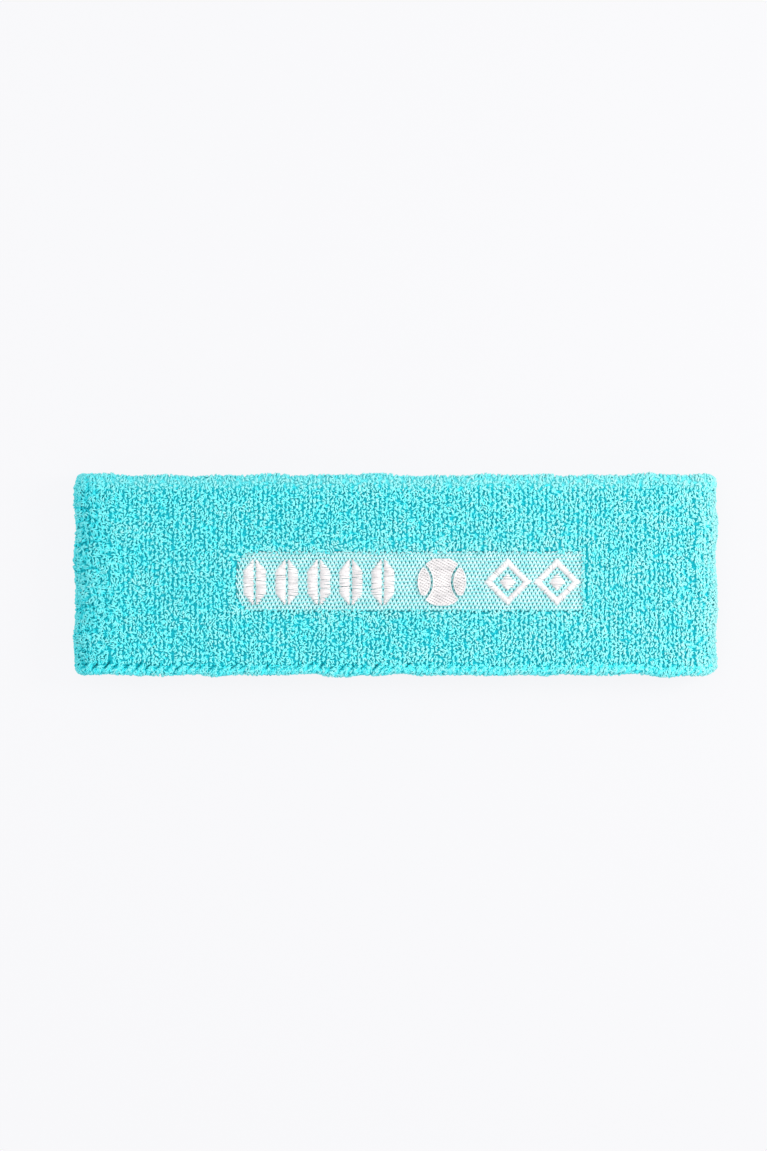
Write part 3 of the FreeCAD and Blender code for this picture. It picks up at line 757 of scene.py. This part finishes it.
# ---- elastic, between the two ground knits ----
def make_elastic():
    """Covered elastic threads of both layers, one ring for every few courses."""
    s = np.linspace(0, AROUND, 260)
    lines = []
    for radius_node in ("outer_elastic", "inner_elastic"):
        low, high = box_mm(radius_node)
        radius = high[0] - WEB - ELASTIC_THICK / 2
        for y in np.linspace(low[1] + ELASTIC_THICK / 2, high[1] - ELASTIC_THICK / 2,
                             ELASTIC_RINGS):
            x, z = ring(s, radius)
            lines.append(np.stack([x, np.full_like(x, y), z], axis=-1))
    return make_tubes("elastic_threads", settle(np.stack(lines)), ELASTIC_THICK, 5,
                      elastic_material)


# ---- flat-knit window ----
def window_span(y):
    """Ends of the window along X at a height y: its left corners are cut."""
    near = np.minimum(y - WINDOW_LOW[1], WINDOW_HIGH[1] - y)
    left = WINDOW_LOW[0] + np.clip(1 - near / CUT_UP, 0, 1) * CUT_ACROSS - WINDOW_TUCK
    return left, WINDOW_HIGH[0] + WINDOW_TUCK + 0 * near


def make_window(name, strand, material):
    """One strand of the plain knit: a wave in each course that meets the waves next to it."""
    rng = np.random.default_rng(51)
    low, high = WINDOW_LOW[1] - WINDOW_TUCK / 2, WINDOW_HIGH[1] + WINDOW_TUCK / 2
    courses = int(round((high - low) / WINDOW_COURSE))
    wales = int((WINDOW_HIGH[0] - WINDOW_LOW[0] + 2 * WINDOW_TUCK) / WINDOW_WALE)
    phase = np.linspace(0, TAU * wales, wales * 9)
    lines = []
    for course in range(courses):
        y = low + (course + 0.5) * (high - low) / courses
        left, right = window_span(np.array(y))
        shift = WINDOW_WALE * (0.5 * (course % 2) + 0.07 * course + 0.05 * rng.standard_normal())
        x = WINDOW_LOW[0] - WINDOW_TUCK + phase / TAU * WINDOW_WALE + shift % WINDOW_WALE
        past = np.clip(np.maximum(left - x, x - right), 0, 0.6)
        wave = np.cos(phase)
        tall = WINDOW_WAVE * (1 + 0.12 * waves(x, x * 0 + 3 * y, 2.5, 53))
        wobble = 0.07 * waves(x, x * 0 + y, 4, 52)
        aside = strand * (WINDOW_APART + 0.05 * wave)
        z = WINDOW_HIGH[2] - WINDOW_DEEP + 0.10 * wave - 0.05 * strand - 2.0 * past
        x = x + 0.03 * np.sin(2 * phase) + 0.09 * wave
        lines.append(np.stack([x, y + tall * wave + wobble + aside, z], axis=-1))
    return make_tubes(name, settle(np.stack(lines)), WINDOW_YARN, 5, material)


def make_window_back():
    """A dark sheet behind the window: painted shade, darker than the ground knit, for the dark of
    its holes.
    """
    y = np.linspace(WINDOW_LOW[1] - WINDOW_TUCK, WINDOW_HIGH[1] + WINDOW_TUCK, 24)
    left, right = window_span(y)
    across = np.linspace(0, 1, 80)[None, :]
    x = left[:, None] * (1 - across) + right[:, None] * across
    points = np.stack([x, y[:, None] + 0 * x, np.full_like(x, WINDOW_LOW[2] + 0.02)], axis=-1)
    return make_sheet("window_back", settle(points), window_shade_material)


# ---- stitched figures ----
def satin(starts, ends, base, lift, rng):
    """Threads laid side by side from starts to ends, arched over the knit."""
    t = np.linspace(0, 1, 9)
    arch = np.sin(t * math.pi) ** 0.55
    starts = starts + START_SPREAD * rng.standard_normal(starts.shape)
    ends = ends + END_SPREAD * rng.standard_normal(ends.shape)
    flat = starts[:, None] + (ends - starts)[:, None] * t[None, :, None]
    lift = lift + LIFT_SPREAD * rng.standard_normal((len(starts), 1))
    high = base - THREAD_SINK + lift * arch
    return np.concatenate([flat, high[..., None]], axis=-1)


def make_lozenge(number):
    """A lozenge in two satin columns with a vein between them."""
    rng = np.random.default_rng(60 + number)
    low, high = box_mm(f"lozenge_{number}")
    middle = (low + high) / 2
    tall, edge_x = (high[1] - low[1]) / 2, (high[0] - low[0]) / 2
    y = np.arange(-tall, tall, THREAD_PITCH)
    reach = VEIN + (edge_x - VEIN) * np.clip((tall - np.abs(y)) / POINT, 0, 1)
    paths = []
    for side in (-1, 1):
        starts = np.stack([middle[0] + side * VEIN + 0 * y, middle[1] + y + 0.10], axis=-1)
        ends = np.stack([middle[0] + side * reach, middle[1] + y - 0.10], axis=-1)
        wide = np.abs(reach - VEIN) > 0.25
        paths.append(satin(starts[wide], ends[wide], low[2], high[2] - low[2], rng))
    return make_tubes(f"lozenge_stitches_{number}", settle(np.concatenate(paths)), THREAD, 6,
                      thread_material)


def make_diamond(node):
    """A diamond frame in turning satin, with a small satin diamond inside."""
    rng = np.random.default_rng(len(node))
    low, high = box_mm(node)
    middle, reach = (low + high) / 2, (high[0] - low[0]) / 2
    inner, core = reach - DIAMOND_BAND, DIAMOND_CORE
    t = np.linspace(0, 1, int(reach * math.sqrt(2) / THREAD_PITCH), endpoint=False)
    paths = []
    for quarter in range(4):
        here, there = TAU * quarter / 4, TAU * (quarter + 1) / 4
        a = np.array([math.cos(here), math.sin(here)])
        b = np.array([math.cos(there), math.sin(there)])
        line = a[None] * (1 - t[:, None]) + b[None] * t[:, None]
        paths.append(satin(middle[:2] + line * inner, middle[:2] + line * reach, low[2],
                           high[2] - low[2], rng))
    y = np.arange(-core + 0.2, core - 0.1, THREAD_PITCH)
    half = core - np.abs(y)
    left = np.stack([middle[0] - half, middle[1] + y], axis=-1)
    right = np.stack([middle[0] + half, middle[1] + y], axis=-1)
    paths.append(satin(left, right, low[2], high[2] - low[2], rng))
    name = node + "_stitches"
    return make_tubes(name, settle(np.concatenate(paths)), THREAD, 6, thread_material)


def fill_row(x_from, x_to, y, row, base, lift, rng):
    """One row of fill stitches, which dips where the needle went in."""
    x = np.linspace(x_from, x_to, 60)
    phase = (x / FILL_STITCH + row * FILL_SHIFT) % 1
    dip = np.exp(-((phase - 0.5) / DIP_HALF) ** 2)
    ends = np.minimum(x - x_from, x_to - x)
    z = base + lift * (0.85 - 0.75 * dip) * step(-0.02, 0.25, ends) - 0.05
    y = np.full_like(x, y) + 0.03 * rng.standard_normal() + 0.04 * dip
    return np.stack([x, y, z], axis=-1)


def make_ball():
    """A plain ball in three fill-stitched lobes, with its two seam lines left open."""
    rng = np.random.default_rng(71)
    low, high = box_mm("ball_emblem")
    middle, radius = (low + high) / 2, (high[0] - low[0]) / 2
    lift = high[2] - low[2]
    rows = []
    outline = {-1: [], 0: [], 1: []}
    for row, y in enumerate(np.arange(-radius + 0.2, radius - 0.1, THREAD_PITCH)):
        rim = math.sqrt(radius ** 2 - y ** 2)
        near = BALL_OFFSET - math.sqrt(max(BALL_OUTER ** 2 - y ** 2, 0))
        spans = {0: (-min(rim, near), min(rim, near))}
        if abs(y) < BALL_INNER:
            far = BALL_OFFSET - math.sqrt(BALL_INNER ** 2 - y ** 2)
            spans[1], spans[-1] = (far, rim), (-rim, -far)
        for lobe, (x_from, x_to) in spans.items():
            if x_to - x_from > 0.5:
                rows.append(fill_row(middle[0] + x_from, middle[0] + x_to, middle[1] + y, row,
                                     low[2], lift, rng))
                outline[lobe].append((x_from, x_to, y))
    for spans in outline.values():
        left = [(a, y) for a, _, y in spans]
        right = [(b, y) for _, b, y in reversed(spans)]
        corners = np.array(left + right + left[:1])
        along = np.concatenate([[0], np.cumsum(np.linalg.norm(np.diff(corners, axis=0), axis=1))])
        for start in np.arange(0, along[-1], OUTLINE_RUN):
            at = np.linspace(start, min(start + OUTLINE_RUN + 0.2, along[-1]), 60)
            x, y = np.interp(at, along, corners[:, 0]), np.interp(at, along, corners[:, 1])
            dip = np.exp(-(((at / OUTLINE_STITCH) % 1 - 0.5) / DIP_HALF) ** 2)
            z = low[2] + lift * (0.95 - 0.35 * dip)
            rows.append(np.stack([middle[0] + x, middle[1] + y, z], axis=-1))
    return make_tubes("ball_stitches", settle(np.stack(rows)), THREAD, 6, thread_material)


# ---- behind the stitched figures ----
def make_backing():
    """Nonwoven backing behind the window: a thin, slightly crimped sheet."""
    low, high = box_mm("embroidery_backing")
    x, y = np.meshgrid(np.linspace(low[0], high[0], 160), np.linspace(low[1], high[1], 32))
    z = (low[2] + high[2]) / 2 + 0.03 * waves(x, y, 2.2, 81)
    return make_sheet("backing_felt", settle(np.stack([x, y, z], axis=-1)), felt_material)


def make_bobbin():
    """Bobbin thread on the back of the backing: a narrow zigzag behind each figure."""
    rng = np.random.default_rng(82)
    low, high = box_mm("bobbin_thread")
    paths = []
    for node in FIGURES:
        near, far = box_mm(node)
        y = np.arange(max(near[1], low[1]) + 0.4, min(far[1], high[1]) - 0.4, BOBBIN_PITCH)
        middle, reach = (near[0] + far[0]) / 2, (far[0] - near[0]) / 6
        reach = reach * (1 + 0.15 * rng.standard_normal((len(y), 1)))
        x = middle + reach * np.linspace(-1, 1, 5)[None, :]
        y = y[:, None] + BOBBIN_PITCH / 2 * np.linspace(-1, 1, 5)[None, :]
        paths.append(np.stack([x, y, np.full_like(x, (low[2] + high[2]) / 2)], axis=-1))
    return make_tubes("bobbin_stitches", settle(np.concatenate(paths)), BOBBIN_THREAD, 5,
                      bobbin_material)


# ---- camera, light and floor ----
LENS, SENSOR = 85, 36
CAMERA_X, CAMERA_Y = -3.33, -0.1
VIEW_TALL = 319.7                             # height of the view at the band, in millimetres
SKY, SKY_STRENGTH = (0.925, 0.93, 0.95, 1), 0.945
# Name, place and size in metres, power in watts and colour of each softbox.
SOFTBOXES = [("right_softbox", (0.34, 0.08, 0.32), 0.16, 1.16, (1.0, 0.98, 0.93)),
             ("top_softbox", (-0.10, 0.08, 0.60), 0.30, 1.3, (1.0, 0.99, 0.97))]
FLOOR_GLOW, FLOOR_STRENGTH = (0.93, 0.93, 0.95, 1), 0.94
FLOOR_HALF = 4000


def make_camera():
    """A long lens straight above the band, which lies a little right of the middle."""
    data = bpy.data.cameras.new("camera")
    data.lens = LENS
    data.sensor_width = SENSOR
    data.clip_end = 20
    camera = bpy.data.objects.new("camera", data)
    bpy.context.scene.collection.objects.link(camera)
    distance = VIEW_TALL * LENS / SENSOR
    camera.location = Vector((CAMERA_X, CAMERA_Y, TERRY_HIGH[2] - 1 + distance)) * MM
    bpy.context.scene.camera = camera


def make_light(name, place, size, power, color):
    """A square area light that faces the band."""
    data = bpy.data.lights.new(name, "AREA")
    data.shape = "SQUARE"
    data.size = size
    data.energy = power
    data.color = color
    light = bpy.data.objects.new(name, data)
    bpy.context.scene.collection.objects.link(light)
    light.location = Vector(place)
    light.rotation_euler = (-Vector(place)).to_track_quat("-Z", "Y").to_euler()


def make_studio():
    """Plain pale floor, an even pale sky and two softboxes, right and overhead."""
    scene = bpy.context.scene
    scene.view_settings.view_transform = "Standard"
    world = bpy.data.worlds.new("studio")
    world.use_nodes = True
    background = world.node_tree.nodes["Background"]
    background.inputs["Color"].default_value = SKY
    background.inputs["Strength"].default_value = SKY_STRENGTH
    scene.world = world
    for softbox in SOFTBOXES:
        make_light(*softbox)
    material, shader = new_material("floor", (0.05, 0.05, 0.05), 0.9, 0.0)
    shader.inputs["Emission Color"].default_value = FLOOR_GLOW
    shader.inputs["Emission Strength"].default_value = FLOOR_STRENGTH
    corners = np.array([(-1, -1, 0), (1, -1, 0), (1, 1, 0), (-1, 1, 0)]) * FLOOR_HALF
    floor = make_mesh("floor", corners, [[0, 1, 2, 3]], material)


make_camera()
make_studio()
ground = make_ground()
pile = make_all_pile()
seam = make_seam()
overlock = make_overlock()
needle = make_needle_line()
elastic = make_elastic()
window = [make_window("window_knit_white", 1, white_material),
          make_window("window_knit_blue", -1, window_material)]
window_back = make_window_back()
backing = make_backing()
bobbin = make_bobbin()
lozenges = [make_lozenge(number) for number in range(1, 6)]
ball = make_ball()
diamonds = [make_diamond(node) for node in ("diamond_left", "diamond_right")]

slots = {"terry": pile, "ground_knit": [ground, seam], "seam_thread": [overlock, needle],
         "elastic": [elastic], "window_knit": [*window, window_back],
         "embroidery": [*lozenges, ball, *diamonds], "backing": [backing],
         "bobbin": [bobbin]}
for slot, pieces in slots.items():
    for piece in pieces:
        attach(piece, "root")
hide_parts("outer_ground", "inner_ground", "turned_edge_ground")
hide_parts("outer_terry", "inner_terry", "turned_edge_terry")
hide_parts("edge_seam")
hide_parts("overlock_threads")
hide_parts("seam_needle_thread")
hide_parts("outer_elastic", "inner_elastic")
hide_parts("knit_window")
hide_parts("embroidery_backing")
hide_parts("bobbin_thread")
for number, piece in enumerate(lozenges, start=1):
    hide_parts(f"lozenge_{number}")
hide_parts("ball_emblem")
for piece, node in zip(diamonds, ("diamond_left", "diamond_right")):
    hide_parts(node)
